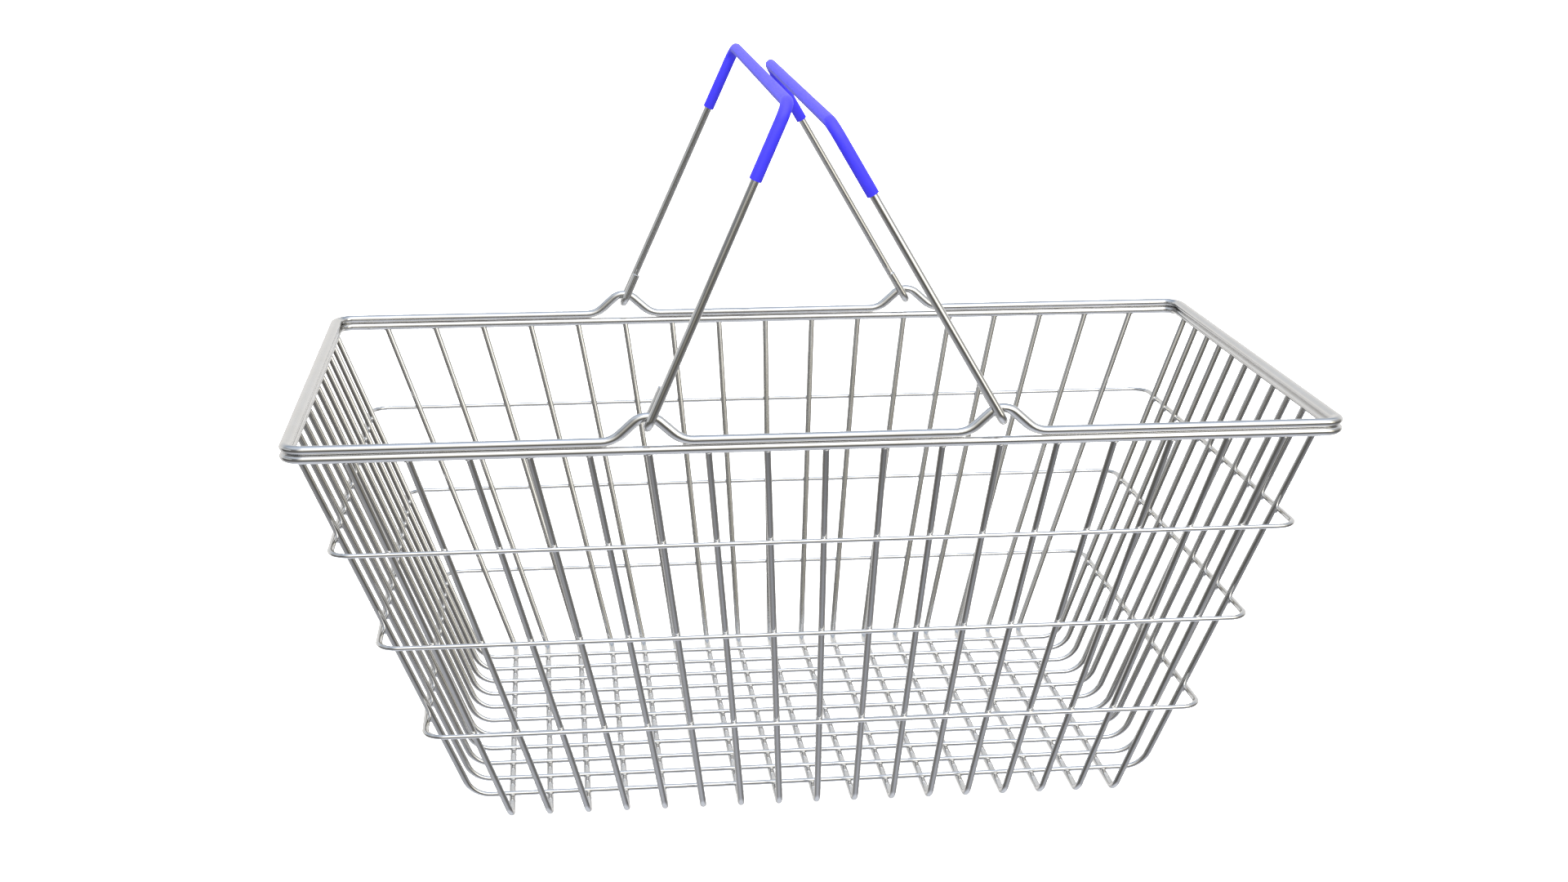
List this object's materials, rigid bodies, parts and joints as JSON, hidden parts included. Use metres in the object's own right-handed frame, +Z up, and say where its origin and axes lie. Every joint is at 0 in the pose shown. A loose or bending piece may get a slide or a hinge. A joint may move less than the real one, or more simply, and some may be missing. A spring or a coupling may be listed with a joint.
{
  "type": "wire shopping basket",
  "caption": "Tapered welded wire shopping basket with swinging wire bail handles that have blue plastic grip sleeves.",
  "frame": {"origin": "centre of the basket, on the surface that it stands on", "axes": "+X along the basket's long side towards the right handle's hinge line, +Y across it to the back, +Z up"},
  "size_m": [0.4614, 0.2716, 0.3259],
  "materials": {
    "bright_steel": "polished",
    "blue_plastic": "satin"
  },
  "bodies": {
    "basket": {"upper_rim_ring": "bright_steel", "lower_rim_ring": "bright_steel", "lower_band_ring": "bright_steel", "middle_band_ring": "bright_steel", "upper_band_ring": "bright_steel", "cross_wire_01": "bright_steel", "cross_wire_02": "bright_steel", "cross_wire_03": "bright_steel", "cross_wire_04": "bright_steel", "cross_wire_05": "bright_steel", "cross_wire_06": "bright_steel", "cross_wire_07": "bright_steel", "cross_wire_08": "bright_steel", "cross_wire_09": "bright_steel", "cross_wire_10": "bright_steel", "cross_wire_11": "bright_steel", "cross_wire_12": "bright_steel", "cross_wire_13": "bright_steel", "cross_wire_14": "bright_steel", "cross_wire_15": "bright_steel", "cross_wire_16": "bright_steel", "cross_wire_17": "bright_steel", "long_wire_01": "bright_steel", "long_wire_02": "bright_steel", "long_wire_03": "bright_steel", "long_wire_04": "bright_steel", "long_wire_05": "bright_steel", "long_wire_06": "bright_steel", "long_wire_07": "bright_steel", "long_wire_08": "bright_steel", "long_wire_09": "bright_steel", "long_wire_10": "bright_steel", "long_wire_11": "bright_steel"},
    "left_handle": {"left_handle_wire": "bright_steel", "left_grip": "blue_plastic"},
    "right_handle": {"right_handle_wire": "bright_steel", "right_grip": "blue_plastic"}
  },
  "joints": [
    {"name": "left_handle_hinge", "type": "hinge", "parent": "basket", "child": "left_handle", "pos_m": [-0.0765, 0, 0.1882], "axis": [0, -1, 0], "range_deg": [-5.3, 114.2]},
    {"name": "right_handle_hinge", "type": "hinge", "parent": "basket", "child": "right_handle", "pos_m": [0.0765, 0, 0.1871], "axis": [0, 1, 0], "range_deg": [0, 119.7]}
  ]
}
